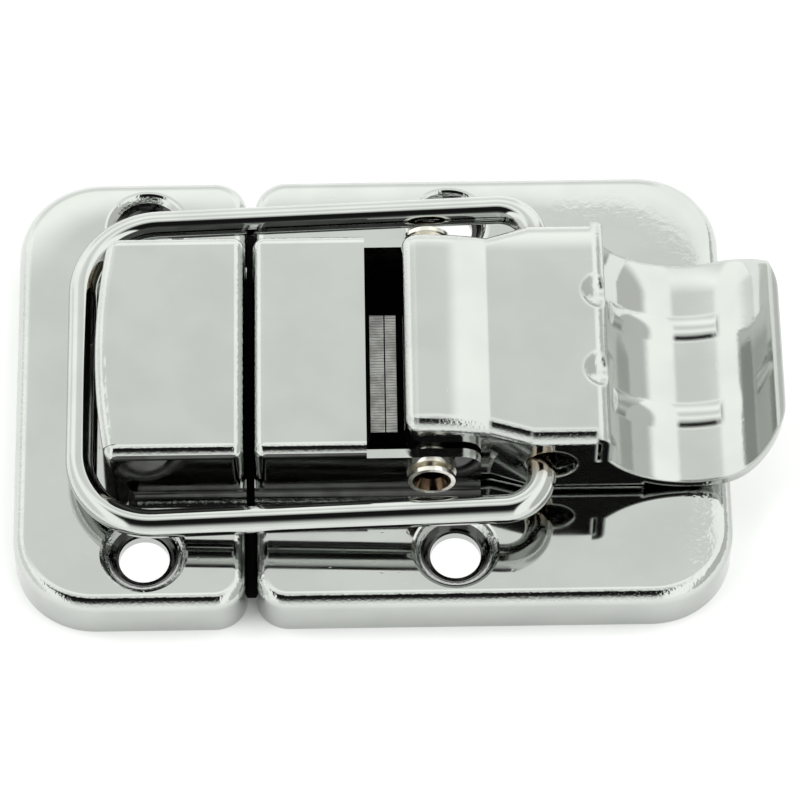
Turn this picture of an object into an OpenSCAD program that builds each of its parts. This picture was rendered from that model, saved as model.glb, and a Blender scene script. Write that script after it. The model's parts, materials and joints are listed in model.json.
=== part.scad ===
// Over-centre draw latch for a case lid: keeper plate with hook, base plate with
// housing and ears, pressed lever, wire bail, two tubular rivets, two leaf springs.
// The mounting plane is z = 0, the parting line is x = 0, the middle plane is y = 0.
// The keeper lies at -X, the lever points to +X.

/* [Plates] */
// Thickness of the plate sheet
sheet_t = 0.9; // [0.7:0.05:1.1]
// Height of the plates over the mounting plane
plate_h = 5; // [4.6:0.1:5.6]
// Outside radius of the bend between plate and rim
rim_r = 1.2; // [1:0.1:2]
// Width of both plates
plate_w = 45.2; // [44:0.1:47]
// Length of the keeper plate
keeper_len = 21.2; // [20.5:0.1:24]
// Length of the base plate
base_len = 43.3; // [42:0.1:48]
// Gap between the two plates
plate_gap = 0.75; // [0.4:0.05:1.5]
// Corner radius beside the parting line
gap_corner_r = 3; // [2.7:0.1:4]
// Corner radius at the outer ends
end_corner_r = 7.5; // [5:0.1:8]

/* [Housing and hook] */
// Outside width of the raised housing and of the raised hook
hump_w = 23.1; // [22.8:0.1:24]
// Height of the raised top over the plate
hump_rise = 7.9; // [7.4:0.1:8.2]
// Outside radius of the raised top's edges
hump_r = 1.1; // [1:0.05:1.4]
// Radius of the fillet at the foot of the raised walls
foot_r = 1.5; // [0.8:0.1:1.6]
// Length of the closed top of the housing
housing_len = 10.2; // [9.6:0.1:10.3]
// Length of the side ears from the parting edge
ear_len = 20.5; // [20:0.1:21]
// Height that is trimmed off the ears below the housing top
ear_drop = 1.2; // [1.1:0.05:1.6]
// Radius of the ears' upper corner
ear_corner_r = 1.8; // [1:0.1:2.2]
// Length of the hook's top from the parting edge to its lip
hook_len = 13.6; // [13.2:0.1:13.8]
// Outside radius of the rolled lip
lip_r = 1.1; // [1.1:0.05:1.4]
// How far the hook's side walls stay behind its lip
lip_lead = 0.8; // [0.5:0.05:1]
// Bow of the lip in plan
lip_bow = 0.85; // [0.5:0.05:1]
// How far the hook's side walls recede from the lip down to the plate
hook_undercut = 3; // [2.4:0.1:3.4]

/* [Screw holes] */
// Diameter of the screw holes
screw_d = 4.6; // [3.6:0.1:5]
// Diameter of the pressed countersink at the plate surface
dimple_d = 8; // [7.4:0.1:8.2]
// Depth of the pressed countersink
dimple_depth = 1.3; // [0.8:0.05:1.4]
// Distance between the two holes of a plate
screw_spacing = 34.6; // [34:0.1:35]
// Distance of the keeper's holes from its parting edge
keeper_screw_x = 9.3; // [8:0.1:10]
// Distance of the base's holes from its parting edge
base_screw_x = 18.1; // [16:0.1:22]

/* [Lever] */
// Thickness of the lever sheet
lever_t = 0.9; // [0.8:0.05:1]
// Distance of the lever pivot from the base's parting edge
pivot_x = 16; // [15.8:0.05:16.2]
// Height of the lever pivot over the plate
pivot_rise = 4.6; // [4.5:0.05:4.8]
// Distance of the bail pivot from the lever pivot
throw_x = 9.9; // [9.5:0.1:10.4]
// Height of the bail pivot over the lever pivot
throw_z = 0.3; // [0.1:0.05:0.4]
// Length of the lever's tail behind its pivot
tail_len = 2.4; // [2:0.1:2.5]
// Height of the tail's crest over the lever's flat top
crest_rise = 0.8; // [0.5:0.05:1]
// Height of the lever's flat top over its pivot
flat_rise = 4.9; // [4.7:0.05:5.1]
// Distance of the step at the end of the flat from the lever pivot
step_x = 16.1; // [15.5:0.1:16.8]
// Outside width of the lever outside the ears
lever_w = 22.9; // [22.4:0.1:23.4]
// Side play between an ear and the lever
ear_play = 0.35; // [0.25:0.05:0.5]
// Outside radius of the lever's top edges
lever_r = 1.2; // [1.1:0.05:1.4]
// Radius of the finger scoop's upper face
scoop_r = 8.7; // [8.4:0.1:9.4]
// Distance of the scoop's axis from the step
scoop_x = 7.3; // [7:0.1:7.8]
// Height of the scoop's lowest upper face over the plate
scoop_rise = 1.4; // [1.3:0.05:1.8]
// Radius of the scoop's free corners
scoop_corner_r = 5.5; // [4:0.1:6]
// Angle of the scoop's lip past its lowest line
scoop_lip_a = 65; // [55:1:70]
// Width of the two stiffening ribs in the scoop
rib_w = 2.6; // [2:0.1:3]
// Height of the ribs over the scoop
rib_rise = 0.3; // [0.2:0.05:0.8]
// Distance between the middles of the ribs
rib_spacing = 9.2; // [8:0.1:11]
// Diameter of the two dents that stiffen the step
gusset_d = 5.2; // [4.8:0.1:5.4]
// Distance between the middles of the dents
gusset_spacing = 8.2; // [7:0.1:9]
// Diameter of the holes for the bail's ends
bail_hole_d = 4.6; // [4.2:0.1:5]

/* [Bail] */
// Diameter of the bail wire
wire_d = 2.6; // [2.4:0.05:2.8]
// Distance between the middles of the bail's long runs
bail_w = 31.6; // [31.2:0.1:33]
// Length of the bail from its pivot to the middle of its cross run
bail_len = 41.8; // [41.7:0.1:43]
// Angle at which the bail falls towards the hook
bail_fall = 3.5; // [3:0.1:4]
// Middle radius of the bail's outer corners
bail_corner_r = 7; // [6:0.1:8]
// Middle radius of the bends into the lever
bail_bend_r = 3.4; // [3:0.1:3.6]
// Length of the bail's ends inside the lever's walls
bail_end_len = 1.6; // [1.2:0.1:2]
// Side clearance of the wire in its hole
wire_play = 0.05; // [0.02:0.01:0.1]

/* [Rivets] */
// Diameter of the rivet shanks
rivet_d = 3.2; // [2.8:0.1:3.4]
// Diameter of the rivet bores
rivet_bore_d = 2.4; // [1.8:0.1:2.5]
// Diameter of the flanges on the ears
rivet_flange_d = 4.5; // [4.2:0.1:4.6]
// Diameter of the rolled outer ends
rivet_lip_d = 4.3; // [3.8:0.1:4.4]
// Length of the rolled ends over the flanges
rivet_stub = 0.9; // [0.7:0.05:1.1]
// Running clearance around the shanks
rivet_play = 0.05; // [0.02:0.01:0.1]

/* [Springs] */
// Width of the leaf springs
spring_w = 12.4; // [10:0.1:14]
// Thickness of the outer leaf
outer_leaf_t = 1; // [0.8:0.05:1.1]
// Thickness of the inner leaf
inner_leaf_t = 1.3; // [1:0.05:1.4]
// Gap between the leaves, and between the outer leaf and the housing
leaf_gap = 0.12; // [0.08:0.01:0.15]
// Span over the outer leaf
spring_span = 12; // [11.6:0.1:12.2]
// Height of the springs' tips over the mounting plane
spring_tip_z = 6.95; // [6.6:0.05:7]

/* [Hidden] */
$fn = 64;

chrome = [0.80, 0.82, 0.80];
brass = [0.78, 0.68, 0.48];
steel = [0.62, 0.62, 0.60];

// overlap that makes a cut pass clean through a face
cut = 1;
edge_x = plate_gap / 2;
hump_half = hump_w / 2;
hump_top = plate_h + hump_rise;
foot_half = hump_half + foot_r;
plate_half = plate_w / 2;
pivot = [edge_x + pivot_x, plate_h + pivot_rise];
bail_pivot = [pivot[0] + throw_x, pivot[1] + throw_z];
ear_inner = hump_half - sheet_t;
neck_half = ear_inner - ear_play;
wide_half = lever_w / 2;
hook_wall_end = hook_len - lip_lead;
lip_from = hook_len - lip_r - lip_lead - lip_bow;
lip_sector = 60;
// step at the seams where a stamped form runs into another
seam = 0.05;
crown_end = hook_len - lip_bow - lip_r - 2 * seam;
hook_foot_end = hook_wall_end - hook_undercut;
// lever, measured from its pivot
roll_x = lever_r - tail_len;
jog_x = 5.3;
flare_end = 9;
crest_z = flat_rise + crest_rise;
neck_sector = 60;
crest_run = jog_x - roll_x;
crest_r = (crest_run * crest_run + crest_rise * crest_rise) / (2 * crest_rise);
wall_lift = 0.5;
wall_low = scoop_rise - lever_t - pivot_rise + wall_lift;
tail_drop = 1.8;
lobe_r = 2.9;
wall_rise_x = 9.5;
wall_tip = 4.4;
scoop_axis = [step_x + scoop_x, plate_h + scoop_rise + scoop_r - pivot[1]];
scoop_start_z = scoop_axis[1] - sqrt(scoop_r * scoop_r - scoop_x * scoop_x);
rib_from = -50;
rib_to = 22;
gusset_back = 0.3;
gusset_depth = 0.9;
gusset_t = 0.5;
rivet_flange_t = 0.4;
dish_steps = 8;
spring_base_z = 0.4;
spring_base_r = spring_span / 2;
spring_left = edge_x + sheet_t + leaf_gap;

// A quarter ring of sheet that turns from +X up to +Y
module bend_2d(r, t) {
    intersection() {
        difference() {
            circle(r);
            circle(r - t);
        }
        square(r);
    }
}

// Section of a rim that hangs from a flat sheet: x is the distance from the corner's middle
module rim_2d(radius) {
    translate([radius - rim_r, plate_h - rim_r]) bend_2d(rim_r, sheet_t);
    translate([radius - sheet_t, 0]) square([sheet_t, plate_h - rim_r]);
}

// Straight rim that ends at corner c and runs back over the given length
module rim_side(c, normal, length) {
    translate([c[0], c[1], 0])
        rotate([90, 0, normal])
            linear_extrude(length) rim_2d(c[2]);
}

// Round rim at corner c, with its sector of the flat sheet
module rim_corner(c, from) {
    translate([c[0], c[1], 0])
        rotate([0, 0, from])
            rotate_extrude(angle = 90) {
                rim_2d(c[2]);
                translate([0, plate_h - sheet_t]) square([c[2] - rim_r, sheet_t]);
            }
}

// A pan with its parting edge on x = 0: flat sheet, rims on all sides, and a free
// stretch in the middle of the parting edge for the raised part
module pan(length, open_len) {
    end_x = length - end_corner_r;
    end_y = plate_half - end_corner_r;
    gap_y = plate_half - gap_corner_r;
    for (side = [0, 1]) mirror([0, side, 0]) {
        rim_corner([end_x, end_y, end_corner_r], 0);
        rim_corner([gap_corner_r, gap_y, gap_corner_r], 90);
        rim_side([gap_corner_r, plate_half - gap_corner_r, gap_corner_r], 90, end_x - gap_corner_r);
        rim_side([gap_corner_r, foot_half, gap_corner_r], 180, gap_y - foot_half);
    }
    rim_side([end_x, end_y, end_corner_r], 0, 2 * end_y);
    outline = [
        [rim_r, -gap_y],
        [gap_corner_r, -gap_y],
        [gap_corner_r, rim_r - plate_half],
        [end_x, rim_r - plate_half],
        [end_x, -end_y],
        [length - rim_r, -end_y],
        [length - rim_r, end_y],
        [end_x, end_y],
        [end_x, plate_half - rim_r],
        [gap_corner_r, plate_half - rim_r],
        [gap_corner_r, gap_y],
        [rim_r, gap_y]
    ];
    translate([0, 0, plate_h - sheet_t])
        linear_extrude(sheet_t)
            difference() {
                polygon(outline);
                translate([-cut, -foot_half]) square([open_len + cut, 2 * foot_half]);
            }
}

// Section of one raised wall from the foot fillet to the flat of the top, at +Y
module wall_2d(top) {
    translate([hump_half + foot_r, plate_h + foot_r])
        rotate(180) bend_2d(foot_r + sheet_t, sheet_t);
    translate([hump_half - sheet_t, plate_h + foot_r])
        square([sheet_t, top - plate_h - foot_r]);
}

// Section of the raised part's edge between wall and top, at +Y
module crown_2d() {
    translate([hump_half - hump_r, hump_top - hump_r]) bend_2d(hump_r, sheet_t);
}

// Extrudes a section in y and z along +X
module along_x(length) {
    rotate([90, 0, 90]) linear_extrude(length) children();
}

// Raised part from the parting edge at x = 0 over a given length, with its closed end wall
module hump(length, flat_len) {
    for (side = [0, 1]) mirror([0, side, 0]) {
        translate([hump_r, 0, 0])
            along_x(length - hump_r) {
                wall_2d(hump_top - hump_r);
                crown_2d();
            }
        along_x(hump_r)
            translate([hump_half + foot_r, plate_h + foot_r])
                rotate(180) bend_2d(foot_r + sheet_t, sheet_t);
        translate([hump_r, hump_half - hump_r, 0])
            rotate([0, 0, 90])
                rotate_extrude(angle = 90) {
                    translate([0, hump_top - hump_r]) bend_2d(hump_r, sheet_t);
                    translate([hump_r - sheet_t, 0]) square([sheet_t, hump_top - hump_r]);
                }
        translate([0, hump_half - hump_r, 0])
            cube([sheet_t, foot_half - hump_half + hump_r, plate_h]);
    }
    flat_w = 2 * (hump_half - hump_r);
    translate([0, -flat_w / 2, 0]) cube([sheet_t, flat_w, hump_top - hump_r]);
    translate([hump_r, flat_w / 2, hump_top - hump_r])
        rotate([90, 0, 0]) mirror([1, 0, 0])
            linear_extrude(flat_w) bend_2d(hump_r, sheet_t);
    translate([hump_r, -flat_w / 2, hump_top - sheet_t])
        cube([flat_len - hump_r, flat_w, sheet_t]);
}

// Point of the dish's section, from its outer edge down to the bore
function dish_point(step) = [
    dimple_d / 2 - (dimple_d - screw_d) / 2 * step / dish_steps,
    -dimple_depth * (1 - cos(180 * step / dish_steps)) / 2
];

// Pressed dish round one screw hole, sheet and bore
module dimple() {
    rotate_extrude()
        polygon(concat(
            [for (step = [0 : dish_steps]) dish_point(step) + [0, plate_h]],
            [for (step = [dish_steps : -1 : 0]) dish_point(step) + [0, plate_h - sheet_t]]
        ));
}

// Puts a child on both screw holes at distance x from the parting edge
module at_screws(x) {
    for (side = [-1, 1]) translate([x, side * screw_spacing / 2, 0]) children();
}

// Pan with its two screw holes
module drilled_pan(length, open_len, screw_x) {
    difference() {
        pan(length, open_len);
        at_screws(screw_x) translate([0, 0, -cut]) cylinder(d = dimple_d, h = plate_h + 2 * cut);
    }
    at_screws(screw_x) dimple();
}

// Lip that rolls down at the hook's free end, bowed in plan
module hook_lip() {
    lip_w = hump_w - 2 * hump_r;
    plan_r = (lip_w * lip_w / 4 + lip_bow * lip_bow) / (2 * lip_bow);
    back = hook_len - lip_from;
    intersection() {
        translate([hook_len - plan_r, 0, 0])
            rotate([0, 0, -lip_sector / 2])
                rotate_extrude(angle = lip_sector, $fn = 256) {
                    translate([plan_r - lip_r, hump_top - lip_r]) bend_2d(lip_r, sheet_t);
                    translate([plan_r - 2 * back, hump_top - sheet_t])
                        square([2 * back - lip_r, sheet_t]);
                }
        translate([lip_from, -lip_w / 2, plate_h]) cube([2 * back, lip_w, hump_rise + cut]);
    }
}

// Round corner between the hook's side wall and its lip, at +Y
module hook_corner() {
    edge_z = hump_top - seam - hump_r;
    translate([crown_end, hump_half - hump_r, 0])
        rotate_extrude(angle = 90) {
            translate([0, edge_z]) bend_2d(hump_r, sheet_t);
            translate([hump_r - sheet_t, plate_h]) square([sheet_t, edge_z - plate_h]);
        }
}

// Slanted cut that sets the hook's side walls back below the lip
module hook_throat() {
    top_z = hump_top - lip_r;
    rotate([90, 0, 0])
        translate([0, 0, -plate_half])
            linear_extrude(plate_w)
                polygon([
                    [hook_wall_end, top_z],
                    [hook_foot_end, plate_h],
                    [hook_foot_end, -cut],
                    [hook_len + cut, -cut],
                    [hook_len + cut, top_z]
                ]);
}

module keeper_plate() {
    color(chrome)
        mirror([1, 0, 0]) translate([edge_x, 0, 0]) {
            drilled_pan(keeper_len, hook_foot_end + sheet_t, keeper_screw_x);
            difference() {
                union() {
                    hump(crown_end, lip_from);
                    for (side = [0, 1]) mirror([0, side, 0]) hook_corner();
                }
                hook_throat();
            }
            hook_lip();
        }
}

// Rounds the upper end of the ears
module ear_corner() {
    corner = [ear_len - ear_corner_r, hump_top - ear_drop - ear_corner_r];
    rotate([90, 0, 0])
        translate([corner[0], corner[1], -plate_half])
            linear_extrude(plate_w)
                difference() {
                    square(ear_corner_r + cut);
                    circle(ear_corner_r);
                }
}

// Bore along Y through everything at a point of the middle plane
module cross_bore(at, d) {
    translate([at[0], 0, at[1]])
        rotate([90, 0, 0]) cylinder(d = d, h = plate_w, center = true);
}

module base_plate() {
    color(chrome)
        translate([edge_x, 0, 0]) {
            drilled_pan(base_len, ear_len, base_screw_x);
            hump(housing_len, housing_len);
            difference() {
                for (side = [0, 1]) mirror([0, side, 0])
                    translate([housing_len, 0, 0])
                        along_x(ear_len - housing_len) wall_2d(hump_top - ear_drop);
                ear_corner();
                cross_bore([pivot_x, pivot[1]], rivet_d + 2 * rivet_play);
            }
        }
}

// Extrudes a section in x and z over a width in the middle of Y
module across_y(width) {
    rotate([90, 0, 0]) translate([0, 0, -width / 2]) linear_extrude(width) children();
}

// Space under the lever's walls that is trimmed away
module wall_trim() {
    across_y(plate_w)
        difference() {
            translate([-lobe_r - cut, wall_low - cut])
                square([wall_rise_x + lobe_r + cut, -wall_low + cut]);
            circle(lobe_r);
            polygon([[0, -lobe_r], [wall_rise_x, wall_low], [wall_rise_x, cut], [0, cut]]);
        }
}

// Raised stiffening rib that follows the scoop
module rib() {
    section_r = (rib_w * rib_w / 4 + rib_rise * rib_rise) / (2 * rib_rise);
    middle_r = scoop_r - rib_rise + section_r;
    translate([scoop_axis[0], 0, scoop_axis[1]])
        rotate([90, 0, 0])
            rotate([0, 0, rib_from - 90])
                rotate_extrude(angle = rib_to - rib_from, $fn = 128)
                    intersection() {
                        translate([middle_r, 0]) circle(section_r);
                        translate([0, -rib_w]) square([scoop_r + lever_t / 2, 2 * rib_w]);
                    }
}

// Edge and side wall of the lever's channel at a half width, in y and z
module channel_2d(half) {
    translate([half - lever_r, flat_rise - lever_r]) bend_2d(lever_r, lever_t);
    translate([half - lever_t, wall_low]) square([lever_t, flat_rise - lever_r - wall_low]);
}

// Straight channel of the lever between two distances from the pivot
module channel(half, from, to) {
    flat_half = half - lever_r;
    for (side = [0, 1]) mirror([0, side, 0])
        translate([from, 0, 0]) along_x(to - from) channel_2d(half);
    translate([from, -flat_half, flat_rise - lever_t]) cube([to - from, 2 * flat_half, lever_t]);
}

// Neck of the lever, whose top falls in one arc from the crest to the flat
module neck() {
    flat_half = neck_half - lever_r;
    wall_drop = crest_z - wall_low;
    intersection() {
        translate([roll_x, 0, crest_z - crest_r])
            rotate([90, 0, 0])
                rotate([0, 0, 90 - neck_sector / 2])
                    rotate_extrude(angle = neck_sector, $fn = 256) {
                        for (side = [0, 1]) mirror([0, side])
                            translate([crest_r - lever_r, flat_half]) bend_2d(lever_r, lever_t);
                        translate([crest_r - lever_t, -flat_half]) square([lever_t, 2 * flat_half]);
                        for (side = [0, 1]) mirror([0, side])
                            translate([crest_r - lever_r - wall_drop, neck_half - lever_t])
                                square([wall_drop, lever_t]);
                    }
        translate([roll_x, -neck_half, wall_low])
            cube([crest_run, 2 * neck_half, crest_z - wall_low]);
    }
}

// Rolled end of the lever's tail, with the cam face that hangs from it
module tail() {
    flat_half = neck_half - seam - lever_r;
    edge_z = crest_z - seam - lever_r;
    for (side = [0, 1]) mirror([0, side, 0])
        translate([roll_x, flat_half, 0])
            rotate([0, 0, 90])
                rotate_extrude(angle = 90) {
                    translate([0, edge_z]) bend_2d(lever_r, lever_t);
                    translate([lever_r - lever_t, tail_drop]) square([lever_t, edge_z - tail_drop]);
                }
    translate([roll_x, 0, edge_z])
        mirror([1, 0, 0]) across_y(2 * flat_half) bend_2d(lever_r, lever_t);
    translate([-tail_len, -flat_half, tail_drop])
        cube([lever_t, 2 * flat_half, edge_z - tail_drop]);
}

// Flare of the channel from the neck's width to the full width
module flare() {
    run = flare_end - jog_x;
    spread = atan2(wide_half - neck_half, run);
    for (side = [0, 1]) mirror([0, side, 0])
        intersection() {
            translate([jog_x, neck_half - seam, 0])
                rotate([0, 0, spread])
                    translate([-run, -neck_half, 0])
                        along_x(3 * run) {
                            channel_2d(neck_half);
                            translate([-run, flat_rise - lever_t])
                                square([neck_half - lever_r + run, lever_t]);
                        }
            translate([jog_x, 0, wall_low]) cube([run, plate_half, crest_z - wall_low]);
        }
}

// Tips of the side walls that follow the scoop's underside
module wall_tips() {
    for (side = [-1, 1])
        translate([0, side * (wide_half - lever_t / 2), 0])
            across_y(lever_t)
                difference() {
                    translate([step_x - lever_r, wall_low])
                        square([wall_tip, scoop_start_z - wall_low]);
                    translate(scoop_axis) circle(scoop_r + lever_t / 2, $fn = 128);
                }
}

// Step, scoop and lip in one sweep of the sheet, in x and z
module scoop_2d() {
    translate([step_x - lever_r, flat_rise - lever_r]) bend_2d(lever_r, lever_t);
    translate([step_x - lever_t, flat_rise - lever_r])
        mirror([0, 1]) square([lever_t, flat_rise - lever_r - scoop_start_z + lever_t / 2]);
    difference() {
        translate(scoop_axis) circle(scoop_r + lever_t, $fn = 128);
        translate(scoop_axis) circle(scoop_r, $fn = 128);
        translate([step_x - lever_t - 2 * scoop_r, scoop_axis[1] - 2 * scoop_r])
            square([2 * scoop_r, 4 * scoop_r]);
        translate([step_x - 2 * cut, scoop_start_z]) square([2 * cut + lever_t, 3 * scoop_r]);
        translate(scoop_axis) rotate(scoop_lip_a - 90) square(3 * scoop_r);
        translate(scoop_axis) translate([-2 * scoop_r, 0]) square(4 * scoop_r);
    }
}

// Plan of the scoop with its two round corners
module scoop_plan() {
    tip_x = scoop_axis[0] + (scoop_r + lever_t) * sin(scoop_lip_a);
    round_x = tip_x - scoop_corner_r;
    round_y = wide_half - scoop_corner_r;
    translate([0, -wide_half]) square([round_x, lever_w]);
    translate([round_x, -round_y]) square([scoop_corner_r, 2 * round_y]);
    for (side = [0, 1]) mirror([0, side])
        translate([round_x, round_y])
            intersection() {
                circle(scoop_corner_r);
                square(scoop_corner_r);
            }
}

// Puts a child on the middle of both dents
module at_gussets() {
    middle_z = flat_rise + gusset_d / 2 - gusset_depth;
    for (side = [-1, 1])
        translate([step_x - gusset_back, side * gusset_spacing / 2, middle_z]) children();
}

// Sheet that bulges inwards behind the dents
module gusset_backs() {
    intersection() {
        at_gussets() sphere(d = gusset_d + 2 * gusset_t);
        translate([0, -neck_half, 0])
            cube([step_x - lever_r - gusset_back, 2 * neck_half, flat_rise - lever_t / 2]);
    }
}

// Step, scoop and lip with the free corners rounded
module scoop() {
    intersection() {
        across_y(lever_w) scoop_2d();
        translate([0, 0, wall_low - cut]) linear_extrude(plate_w) scoop_plan();
    }
}

module lever() {
    color(chrome) translate([pivot[0], 0, pivot[1]]) {
        difference() {
            union() {
                tail();
                neck();
                flare();
                channel(wide_half, flare_end, step_x - lever_r);
                gusset_backs();
            }
            wall_trim();
            cross_bore([0, 0], rivet_d + 2 * rivet_play);
            cross_bore([throw_x + bail_hole_d / 2 - wire_d / 2 - wire_play, throw_z], bail_hole_d);
            at_gussets() sphere(d = gusset_d);
        }
        difference() {
            scoop();
            at_gussets() sphere(d = gusset_d);
        }
        for (side = [-1, 1]) translate([0, side * rib_spacing / 2, 0]) rib();
        wall_tips();
    }
}

// Wire along a straight stretch of the bail's plane
module wire_run(from, to) {
    d = to - from;
    translate([from[0], from[1], 0])
        rotate([0, 90, atan2(d[1], d[0])]) cylinder(d = wire_d, h = norm(d));
}

// Wire bent through a quarter circle about a point of the bail's plane
module wire_bend(middle, r, from) {
    translate([middle[0], middle[1], 0])
        rotate([0, 0, from])
            rotate_extrude(angle = 90) translate([r, 0]) circle(d = wire_d);
}

module wire_bail() {
    run_y = bail_w / 2;
    end_y = wide_half - lever_t - bail_end_len;
    color(chrome)
        translate([bail_pivot[0], 0, bail_pivot[1]])
            rotate([0, -bail_fall, 0]) {
                for (side = [0, 1]) mirror([0, side, 0]) {
                    wire_run([0, end_y], [0, run_y - bail_bend_r]);
                    wire_bend([-bail_bend_r, run_y - bail_bend_r], bail_bend_r, 0);
                    wire_run([bail_corner_r - bail_len, run_y], [-bail_bend_r, run_y]);
                    wire_bend([bail_corner_r - bail_len, run_y - bail_corner_r], bail_corner_r, 90);
                }
                wire_run([-bail_len, bail_corner_r - run_y], [-bail_len, run_y - bail_corner_r]);
            }
}

// Tubular rivet on +Y: head inside the lever, flange on the ear, rolled end outside
module rivet() {
    grip = sheet_t + ear_play + lever_t + rivet_play;
    shank_r = rivet_d / 2;
    bore_r = rivet_bore_d / 2;
    flange_r = rivet_flange_d / 2;
    end_r = rivet_lip_d / 2;
    end = rivet_flange_t + rivet_stub;
    color(brass)
        translate([pivot[0], hump_half, pivot[1]])
            rotate([-90, 0, 0])
                rotate_extrude()
                    polygon([
                        [bore_r, -grip - rivet_flange_t],
                        [flange_r, -grip - rivet_flange_t],
                        [flange_r, -grip],
                        [shank_r, -grip],
                        [shank_r, 0],
                        [flange_r, 0],
                        [flange_r, rivet_flange_t],
                        [shank_r, rivet_flange_t],
                        [end_r, end - rivet_flange_t],
                        [end_r, end],
                        [end_r - rivet_flange_t, end],
                        [bore_r, end - rivet_stub]
                    ]);
}

module rivet_front() {
    mirror([0, 1, 0]) rivet();
}

module rivet_back() {
    rivet();
}

// Bowed leaf, open at the top, with its legs between two faces
module leaf(left, right, t) {
    r = (right - left) / 2;
    color(steel)
        translate([left + r, 0, spring_base_z + spring_base_r])
            across_y(spring_w)
                for (side = [0, 1]) mirror([side, 0]) {
                    rotate(-90) bend_2d(r, t);
                    translate([r - t, 0])
                        square([t, spring_tip_z - spring_base_z - spring_base_r]);
                }
}

module outer_leaf_spring() {
    leaf(spring_left, spring_left + spring_span, outer_leaf_t);
}

module inner_leaf_spring() {
    inset = outer_leaf_t + leaf_gap;
    leaf(spring_left + inset, spring_left + spring_span - inset, inner_leaf_t);
}

keeper_plate();
base_plate();
lever();
wire_bail();
rivet_front();
rivet_back();
outer_leaf_spring();
inner_leaf_spring();
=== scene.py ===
"""Looks of a chrome case draw latch, shut, on a white table in a white tent."""
import json
import math
from collections import namedtuple

import bpy
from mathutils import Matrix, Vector

MM = 0.001
MICRON = 1e-6

# Camera, fitted to the photograph
IMAGE_PX = 800
FOCAL_PX = 4977
SENSOR_MM = 36
CAMERA_TARGET = Vector((13.7, -1.7, 5.0)) * MM
CAMERA_DISTANCE = 457 * MM
CAMERA_ELEVATION = 60
CAMERA_AZIMUTH = -0.9
CLIP_START = 0.01
CLIP_END = 20

# Finishes: linear colours of bright and dull patches, their roughness, patches per metre, and the
# waves per metre and wave height of the fine relief
Finish = namedtuple("Finish", "bright dull roughness mottle waves height")
CHROME = Finish((0.505, 0.52, 0.50), (0.475, 0.49, 0.475), (0.05, 0.08), 160, 260, 4 * MICRON)
WIRE = CHROME._replace(roughness=(0.05, 0.09), mottle=220, waves=500)
# Painted shade: chrome coloured near black on the outside of the raised walls and in the screw
# dimples
RECESS_SHADE = Finish((0.075, 0.077, 0.075), (0.05, 0.05, 0.047), (0.06, 0.14), 400, 400, 5 * MICRON)
# Bare steel, rough, inside the plates, its colour painted near black as shade; the hook's sheared
# edges are the same rough steel, stained
INSIDE_SHADE = Finish((0.10, 0.10, 0.095), (0.05, 0.048, 0.045), (0.30, 0.55), 900, 2500, 20 * MICRON)
SHEARED = INSIDE_SHADE._replace(bright=(0.36, 0.33, 0.28), dull=(0.10, 0.06, 0.03))
# Thinly plated brass, its warm tint showing through; in the bore its colour is painted darker as
# shade
RIVET = Finish((0.79, 0.78, 0.73), (0.65, 0.62, 0.54), (0.12, 0.26), 800, 1500, 15 * MICRON)
RIVET_BORE = RIVET._replace(bright=(0.11, 0.075, 0.045), dull=(0.05, 0.03, 0.02))
# Bare spring strip
SPRING = Finish((0.36, 0.36, 0.345), (0.29, 0.29, 0.28), (0.30, 0.40), 900, 1100, 6 * MICRON)
PATCH_RANGE = (0.35, 0.68)
SMOOTH_ANGLE = 32
EDGE_SAMPLES = 6

# Hatching on the springs' sheared ends, and the wire's heat tint where it enters the lever
SPRING_MARK = (0.16, 0.16, 0.155)
MARK_RANGE = (0.55, 1.0)
MARK_DISTORTION = 2.5
MARK_DETAIL = 2
HEAT_TINT = (0.36, 0.30, 0.24)
HEAT_SIDE = (13.6 * MM, 12.0 * MM)
HEAT_FROM = (23.5 * MM, 25.0 * MM)

# Marks of the press on the chrome sheets: grain on the bends, pits, and orange peel at the back
BEND_SLOPE = (0.985, 0.93)
GRAIN_WAVES = 3500
GRAIN_HEIGHT = 30 * MICRON
PIT_WAVES = 1700
PIT_RANGE = (0.77, 0.84)
PIT_DEPTH = 2.5 * MICRON
PEEL_WAVES = 1500
PEEL_FROM = (25 * MM, 32 * MM)
PEEL_BAND = 2.2 * MM
PLATE_MIDDLE = 11 * MM

# Sheets: heights over which the bends' grain sets in, half size and corner radius of the flat core,
# how its margin falls off per metre, height of the orange peel, and radius of the edges in shading
Sheet = namedtuple("Sheet", "bends core core_r fall peel edge_r")
PLATES = Sheet((0.5 * MM, 1 * MM), (22 * MM, 11 * MM), 7.6 * MM, 29, 60 * MICRON, 0.0)
LEVER = Sheet((12.9 * MM, 13.3 * MM), (60 * MM, 8.3 * MM), 0.0, 45, 4 * MICRON, 0.45 * MM)

# Places on the plates where the finish changes
HOOK_CUT_NORMAL = Vector((-0.915, 0, -0.404))
DIMPLE_R = 3.15 * MM
WALL_FROM = 11.4 * MM
WALL_TO = 13.2 * MM
PLATE_TOP = 5.02 * MM
INNER_HALF = 12 * MM

# Least cosine between a face's normal and the direction it is said to look in
LOOKS_AT_AXIS = 0.2
LOOKS_DOWN = 0.3
LOOKS_IN = 0.5
LOOKS_OUT = 0.6
LOOKS_ALONG_CUT = 0.97

# White tent: brightness over the arc from the front horizon (0) over the top (90) to the back (180)
TENT_ARC = [
    (0, 1.0), (14, 0.92), (26, 0.62), (36, 0.25), (46, 0.04), (55, 0.01), (83, 0.01),
    (93, 0.75), (104, 1.25), (119, 0.88), (140, 1.30), (165, 0.95), (180, 1.15),
]
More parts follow.
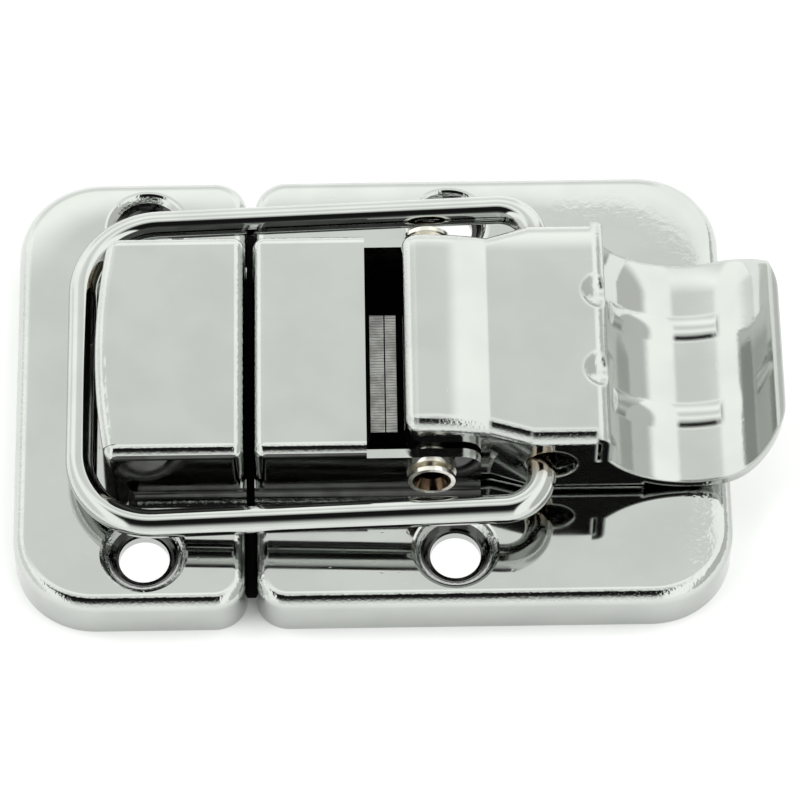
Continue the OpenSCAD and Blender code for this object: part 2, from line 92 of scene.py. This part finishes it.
# Flanks of the tent from left (-1) to right (1): place, brightness and how far they cover the arc
TENT_FLANKS = [
    (-1.0, 0.9, 1), (-0.88, 0.9, 1), (-0.78, 1.25, 1), (-0.57, 1.25, 1), (-0.48, 1.25, 0),
    (0.18, 1.25, 0), (0.27, 1.25, 1), (0.60, 1.25, 1), (0.72, 0.65, 1), (1.0, 0.65, 1),
]
TENT_TINT = (0.985, 1.0, 0.975)
TENT_LEVEL = 1.32
FLOOR_HALF = 2.5
FLOOR_ALBEDO = 0.90
MATT_ROUGHNESS = 0.9

# Two soft boxes, left and right, out of the middle of the tent
LAMP_PLACE = Vector((0.55, 0.05, 0.50))
LAMP_SIZE = 0.7
LAMP_POWER = 2.6

# Painted light: glowing white sheets close under the screw holes; painted shade: a black sheet on
# the table under the gap, housing and ears
WHITE_SIZE = Vector((6, 6, 1)) * MM
WHITE_DROP = Vector((0, 0, -0.55)) * MM
BLACK_PLACE = Vector((11.5, 0, 0.05)) * MM
BLACK_SIZE = Vector((25.4, 38.8, 1)) * MM
BLACK_ALBEDO = 0.02

# Colour sockets of a Mix node
MIX_FIRST = 6
MIX_SECOND = 7
MIX_RESULT = 2


def add_node(tree, kind, **settings):
    """A shader node with its properties set."""
    node = tree.nodes.new(kind)
    for name, value in settings.items():
        setattr(node, name, value)
    return node


def feed(tree, socket, value):
    """Sets a socket from another socket, a number or a colour."""
    if isinstance(value, bpy.types.NodeSocket):
        tree.links.new(value, socket)
    elif isinstance(value, tuple):
        socket.default_value = value + (1,)
    else:
        socket.default_value = value


def calc(tree, operation, first, second=0.0):
    """A Math node's result; each input is a socket or a number."""
    node = add_node(tree, "ShaderNodeMath", operation=operation)
    feed(tree, node.inputs[0], first)
    feed(tree, node.inputs[1], second)
    return node.outputs[0]


def smooth_step(tree, value, start, stop):
    """A factor that goes smoothly from 0 at start to 1 at stop."""
    node = add_node(tree, "ShaderNodeMapRange", interpolation_type="SMOOTHSTEP")
    node.inputs["From Min"].default_value = start
    node.inputs["From Max"].default_value = stop
    tree.links.new(value, node.inputs["Value"])
    return node.outputs["Result"]


def mix_colours(tree, factor, first, second):
    """A colour between two, each a socket or a colour."""
    node = add_node(tree, "ShaderNodeMix", data_type="RGBA")
    tree.links.new(factor, node.inputs["Factor"])
    feed(tree, node.inputs[MIX_FIRST], first)
    feed(tree, node.inputs[MIX_SECOND], second)
    return node.outputs[MIX_RESULT]


def place(tree):
    """The point's place in the frame."""
    return add_node(tree, "ShaderNodeTexCoord").outputs["Object"]


def noise(tree, scale, detail=2.0):
    """Cloudy noise with its scale in waves per metre."""
    node = add_node(tree, "ShaderNodeTexNoise")
    node.inputs["Scale"].default_value = scale
    node.inputs["Detail"].default_value = detail
    tree.links.new(place(tree), node.inputs["Vector"])
    return node.outputs["Fac"]


def axes_of(tree, vector):
    """The x, y and z of a vector socket."""
    node = add_node(tree, "ShaderNodeSeparateXYZ")
    tree.links.new(vector, node.inputs[0])
    return node.outputs


def metal(name, finish):
    """A metal whose colour and roughness vary in soft patches."""
    material = bpy.data.materials.new(name)
    material.use_nodes = True
    tree = material.node_tree
    shader = tree.nodes["Principled BSDF"]
    shader.inputs["Metallic"].default_value = 1
    patch = smooth_step(tree, noise(tree, finish.mottle), *PATCH_RANGE)
    feed(tree, shader.inputs["Base Color"], mix_colours(tree, patch, finish.bright, finish.dull))
    low, high = finish.roughness
    rough = calc(tree, "MULTIPLY_ADD", patch, high - low)
    rough.node.inputs[2].default_value = low
    feed(tree, shader.inputs["Roughness"], rough)
    return material, tree, shader


def add_relief(tree, shader, height, edge_r=0.0):
    """Surface relief, its height in metres, over edges that look rounded to a radius."""
    bump = add_node(tree, "ShaderNodeBump")
    bump.inputs["Distance"].default_value = 1
    tree.links.new(height, bump.inputs["Height"])
    if edge_r:
        edge = add_node(tree, "ShaderNodeBevel", samples=EDGE_SAMPLES)
        edge.inputs["Radius"].default_value = edge_r
        tree.links.new(edge.outputs["Normal"], bump.inputs["Normal"])
    tree.links.new(bump.outputs["Normal"], shader.inputs["Normal"])


def relief(tree, scale, height, mask=None):
    """Noise of a given height, where the mask lets it be."""
    waves = calc(tree, "MULTIPLY", noise(tree, scale), height)
    if mask is None:
        return waves
    return calc(tree, "MULTIPLY", waves, mask)


def margin(tree, core, core_r):
    """How far a point lies outside a rounded core of a top face, towards its ends and its back."""
    x, y, _ = axes_of(tree, place(tree))
    from_middle = calc(tree, "ABSOLUTE", calc(tree, "SUBTRACT", x, PLATE_MIDDLE))
    over_x = calc(tree, "MAXIMUM", calc(tree, "SUBTRACT", from_middle, core[0]), 0.0)
    over_y = calc(tree, "MAXIMUM", calc(tree, "SUBTRACT", y, core[1]), 0.0)
    squares = [calc(tree, "POWER", over, 2.0) for over in (over_x, over_y)]
    distance = calc(tree, "SQRT", calc(tree, "ADD", *squares))
    return calc(tree, "SUBTRACT", distance, core_r)


def chrome_sheet(name, sheet):
    """Chrome plate over pressed steel: wavy, grainy on the bends, and rounded off to its margin."""
    material, tree, shader = metal(name, CHROME)
    x, _, z = axes_of(tree, place(tree))
    slope = axes_of(tree, add_node(tree, "ShaderNodeTexCoord").outputs["Normal"])["Z"]
    raised = smooth_step(tree, z, *sheet.bends)
    bend = calc(tree, "MULTIPLY", smooth_step(tree, slope, *BEND_SLOPE), raised)
    grain = relief(tree, GRAIN_WAVES, GRAIN_HEIGHT, bend)
    height = calc(tree, "ADD", relief(tree, CHROME.waves, CHROME.height), grain)
    pit = smooth_step(tree, noise(tree, PIT_WAVES, 0.0), *PIT_RANGE)
    height = calc(tree, "SUBTRACT", height, calc(tree, "MULTIPLY", pit, PIT_DEPTH))
    outside = margin(tree, sheet.core, sheet.core_r)
    near = smooth_step(tree, calc(tree, "ABSOLUTE", outside), PEEL_BAND, 0)
    peel = calc(tree, "MULTIPLY", near, smooth_step(tree, x, *PEEL_FROM))
    height = calc(tree, "ADD", height, relief(tree, PEEL_WAVES, sheet.peel, peel))
    drop = calc(tree, "POWER", calc(tree, "MAXIMUM", outside, 0.0), 2.0)
    height = calc(tree, "SUBTRACT", height, calc(tree, "MULTIPLY", drop, sheet.fall))
    add_relief(tree, shader, height, sheet.edge_r)
    return material


def wavy_metal(name, finish):
    """A metal with the fine relief of its finish."""
    material, tree, shader = metal(name, finish)
    add_relief(tree, shader, relief(tree, finish.waves, finish.height))
    return material


def chrome_wire():
    """Chrome on the bail, with a brown heat tint where it enters the lever."""
    material = wavy_metal("chrome_wire", WIRE)
    tree = material.node_tree
    x, y, _ = axes_of(tree, place(tree))
    near_lever = smooth_step(tree, calc(tree, "ABSOLUTE", y), *HEAT_SIDE)
    tint = calc(tree, "MULTIPLY", near_lever, smooth_step(tree, x, *HEAT_FROM))
    colour = tree.nodes["Principled BSDF"].inputs["Base Color"]
    plain = colour.links[0].from_socket
    feed(tree, colour, mix_colours(tree, tint, plain, HEAT_TINT))
    return material


def spring_steel():
    """Bare spring strip, hatched by the shear that cut it."""
    material, tree, shader = metal("spring_steel", SPRING)
    hatch = add_node(tree, "ShaderNodeTexWave", bands_direction="Y")
    hatch.inputs["Scale"].default_value = SPRING.waves
    hatch.inputs["Distortion"].default_value = MARK_DISTORTION
    hatch.inputs["Detail"].default_value = MARK_DETAIL
    tree.links.new(place(tree), hatch.inputs["Vector"])
    plain = shader.inputs["Base Color"].links[0].from_socket
    marks = smooth_step(tree, hatch.outputs["Fac"], *MARK_RANGE)
    feed(tree, shader.inputs["Base Color"], mix_colours(tree, marks, plain, SPRING_MARK))
    add_relief(tree, shader, calc(tree, "MULTIPLY", hatch.outputs["Fac"], SPRING.height))
    return material


def set_stops(ramp, stops):
    """Fills a colour ramp; each stop is a place from 0 to 1, a grey level and an alpha."""
    elements = ramp.color_ramp.elements
    while len(elements) < len(stops):
        elements.new(0.5)
    for element, stop in zip(elements, stops):
        element.position = stop[0]
    for element, (_, level, alpha) in zip(elements, stops):
        element.color = [level * c for c in TENT_TINT] + [alpha]


def tent_world():
    """Surroundings that the metal mirrors: a white tent, dark round the camera."""
    world = bpy.data.worlds.new("tent")
    world.use_nodes = True
    bpy.context.scene.world = world
    tree = world.node_tree
    axes = axes_of(tree, add_node(tree, "ShaderNodeTexCoord").outputs["Generated"])
    peak = max(level for _, level in TENT_ARC)
    front = calc(tree, "MULTIPLY", axes["Y"], -1.0)
    arc = add_node(tree, "ShaderNodeValToRGB")
    arc.color_ramp.interpolation = "EASE"
    turn = calc(tree, "DIVIDE", calc(tree, "ARCTAN2", axes["Z"], front), math.pi)
    tree.links.new(turn, arc.inputs[0])
    set_stops(arc, [(angle / 180, level / peak, 1) for angle, level in TENT_ARC])
    flank = add_node(tree, "ShaderNodeValToRGB")
    flank.color_ramp.interpolation = "EASE"
    across = calc(tree, "MULTIPLY", calc(tree, "ADD", axes["X"], 1.0), 0.5)
    tree.links.new(across, flank.inputs[0])
    set_stops(flank, [((x + 1) / 2, level / peak, cover) for x, level, cover in TENT_FLANKS])
    back = tree.nodes["Background"]
    tent = mix_colours(tree, flank.outputs["Alpha"], arc.outputs["Color"], flank.outputs["Color"])
    feed(tree, back.inputs["Color"], tent)
    back.inputs["Strength"].default_value = peak * TENT_LEVEL


def matt(name, albedo):
    """A plain matt grey."""
    material = bpy.data.materials.new(name)
    material.use_nodes = True
    shader = material.node_tree.nodes["Principled BSDF"]
    shader.inputs["Base Color"].default_value = (albedo, albedo, albedo, 1)
    shader.inputs["Roughness"].default_value = MATT_ROUGHNESS
    shader.inputs["Specular IOR Level"].default_value = 0
    return material


def white_floor():
    """The white table the latch lies on."""
    bpy.ops.mesh.primitive_plane_add(size=2 * FLOOR_HALF)
    floor = bpy.context.object
    floor.name = "floor"
    floor.data.materials.append(matt("floor_white", FLOOR_ALBEDO))


def screw_holes():
    """Middles of the four screw holes."""
    for mount in frame["record"]["mounts"]:
        if mount["kind"] == "bolt_pattern":
            reach = mount["dims"]["spacing_y_mm"] / 2 * MM
            for side in (-1, 1):
                yield Vector(mount["pos_m"]) + Vector((0, side * reach, 0))


def add_painted_sheet(name, spot, size, material):
    """A flat sheet under the latch, for painted shade or painted light."""
    bpy.ops.mesh.primitive_plane_add(size=1, location=spot)
    card = bpy.context.object
    card.name = name
    card.scale = size
    card.data.materials.append(material)


def shade_sheet():
    """A black sheet of painted shade that keeps the gap between the plates and the springs' slot
    dark.
    """
    add_painted_sheet("painted_shade_black", BLACK_PLACE, BLACK_SIZE, matt("painted_shade_black", BLACK_ALBEDO))


def glow_sheets():
    """Painted light: sheets under the screw holes that glow as white as the open table."""
    material = bpy.data.materials.new("painted_light_white")
    material.use_nodes = True
    tree = material.node_tree
    path = add_node(tree, "ShaderNodeLightPath").outputs
    seen = calc(tree, "MAXIMUM", path["Is Camera Ray"], path["Is Glossy Ray"])
    seen = calc(tree, "MAXIMUM", seen, path["Is Transmission Ray"])
    shader = tree.nodes["Principled BSDF"]
    shader.inputs["Base Color"].default_value = (0, 0, 0, 1)
    shader.inputs["Specular IOR Level"].default_value = 0
    shader.inputs["Emission Color"].default_value = (1, 1, 1, 1)
    # The sheets glow for camera, glossy and transmission rays: painted light where the table lies
    # in shade
    feed(tree, shader.inputs["Emission Strength"], seen)
    for hole in screw_holes():
        add_painted_sheet("painted_light_white", hole + WHITE_DROP, WHITE_SIZE, material)


def soft_boxes():
    """Lamps from both sides that whiten the table; the metal mirrors the tent alone."""
    for side in (-1, 1):
        data = bpy.data.lights.new("soft_box", "AREA")
        data.size = LAMP_SIZE
        data.energy = LAMP_POWER
        lamp = bpy.data.objects.new("soft_box", data)
        bpy.context.collection.objects.link(lamp)
        lamp.visible_glossy = False
        lamp.location = LAMP_PLACE * Vector((side, 1, 1))
        aim = CAMERA_TARGET - lamp.location
        lamp.rotation_euler = aim.to_track_quat("-Z", "Y").to_euler()


def camera():
    """The photograph's view."""
    data = bpy.data.cameras.new("camera")
    data.sensor_width = SENSOR_MM
    data.lens = FOCAL_PX / IMAGE_PX * SENSOR_MM
    data.clip_start = CLIP_START
    data.clip_end = CLIP_END
    eye = bpy.data.objects.new("camera", data)
    bpy.context.collection.objects.link(eye)
    up = math.radians(CAMERA_ELEVATION)
    turn = math.radians(CAMERA_AZIMUTH)
    back = Vector((math.sin(turn) * math.cos(up), -math.cos(turn) * math.cos(up), math.sin(up)))
    eye.location = CAMERA_TARGET + CAMERA_DISTANCE * back
    eye.rotation_euler = (-back).to_track_quat("-Z", "Y").to_euler()
    bpy.context.scene.camera = eye


def dress(name, material):
    """A CAD node with smooth rounds and a finished material."""
    mesh = frame["nodes"][name].data
    mesh.materials.clear()
    mesh.materials.append(material)
    mesh.shade_smooth()
    mesh.set_sharp_from_angle(angle=math.radians(SMOOTH_ANGLE))
    return mesh


def dress_faces(mesh, material, chosen):
    """Gives the chosen faces of a dressed node another finish."""
    mesh.materials.append(material)
    slot = len(mesh.materials) - 1
    for face in mesh.polygons:
        if chosen(face):
            face.material_index = slot


def faces_inside(face):
    """Whether a face of a plate looks down or into the raised part."""
    looks_in = face.normal.y * face.center.y < -LOOKS_IN * abs(face.center.y)
    return face.normal.z < -LOOKS_DOWN or (looks_in and abs(face.center.y) < INNER_HALF)


def faces_recess(face):
    """Whether a face of a plate lies in a screw dimple or on the outside of a raised wall."""
    if face.center.z > PLATE_TOP:
        looks_out = face.normal.y * face.center.y > LOOKS_OUT * abs(face.center.y)
        return looks_out and WALL_FROM < abs(face.center.y) < WALL_TO
    in_dimple = any((face.center - hole).to_2d().length < DIMPLE_R for hole in screw_holes())
    return in_dimple and face.normal.z > 0


def faces_hook_cut(face):
    """Whether a face is the sheared edge of the hook's side walls."""
    return face.normal.dot(HOOK_CUT_NORMAL) > LOOKS_ALONG_CUT


def faces_rivet_bore(face):
    """Whether a rivet's face looks at the rivet's own axis."""
    axis = next(j for j in frame["record"]["behaviour"]["joints"] if j["name"] == "lever_hinge")
    from_axis = face.center - Vector(axis["pos_m"])
    from_axis.y = 0
    return face.normal.dot(from_axis.normalized()) < -LOOKS_AT_AXIS


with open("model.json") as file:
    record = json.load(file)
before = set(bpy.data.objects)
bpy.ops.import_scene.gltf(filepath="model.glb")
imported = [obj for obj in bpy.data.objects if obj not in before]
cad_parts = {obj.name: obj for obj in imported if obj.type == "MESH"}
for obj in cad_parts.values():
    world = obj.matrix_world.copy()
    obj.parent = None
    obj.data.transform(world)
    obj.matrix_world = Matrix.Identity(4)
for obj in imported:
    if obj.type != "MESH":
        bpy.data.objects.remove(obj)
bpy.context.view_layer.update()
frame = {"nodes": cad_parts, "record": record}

plates = chrome_sheet("chrome_plates", PLATES)
recess = wavy_metal("recess_painted_shade", RECESS_SHADE)
inside = wavy_metal("inside_steel_and_shade", INSIDE_SHADE)
sheared = wavy_metal("sheared_steel", SHEARED)
rivet = wavy_metal("rivet_plate", RIVET)
bore = wavy_metal("rivet_bore", RIVET_BORE)
spring = spring_steel()

for name in ("keeper_plate", "base_plate"):
    plate = dress(name, plates)
    # Faces inside the plates get the near-black painted shade
    dress_faces(plate, inside, faces_inside)
    # Faces in the screw dimples and on the raised walls' outside get the painted shade
    dress_faces(plate, recess, faces_recess)
dress_faces(frame["nodes"]["keeper_plate"].data, sheared, faces_hook_cut)
dress("lever", chrome_sheet("chrome_lever", LEVER))
dress("wire_bail", chrome_wire())
for name in ("rivet_front", "rivet_back"):
    # The rivets' bore faces get the painted shade
    dress_faces(dress(name, rivet), bore, faces_rivet_bore)
for name in ("outer_leaf_spring", "inner_leaf_spring"):
    dress(name, spring)

tent_world()
white_floor()
shade_sheet()
glow_sheets()
soft_boxes()
camera()
bpy.context.scene.view_settings.view_transform = "Standard"
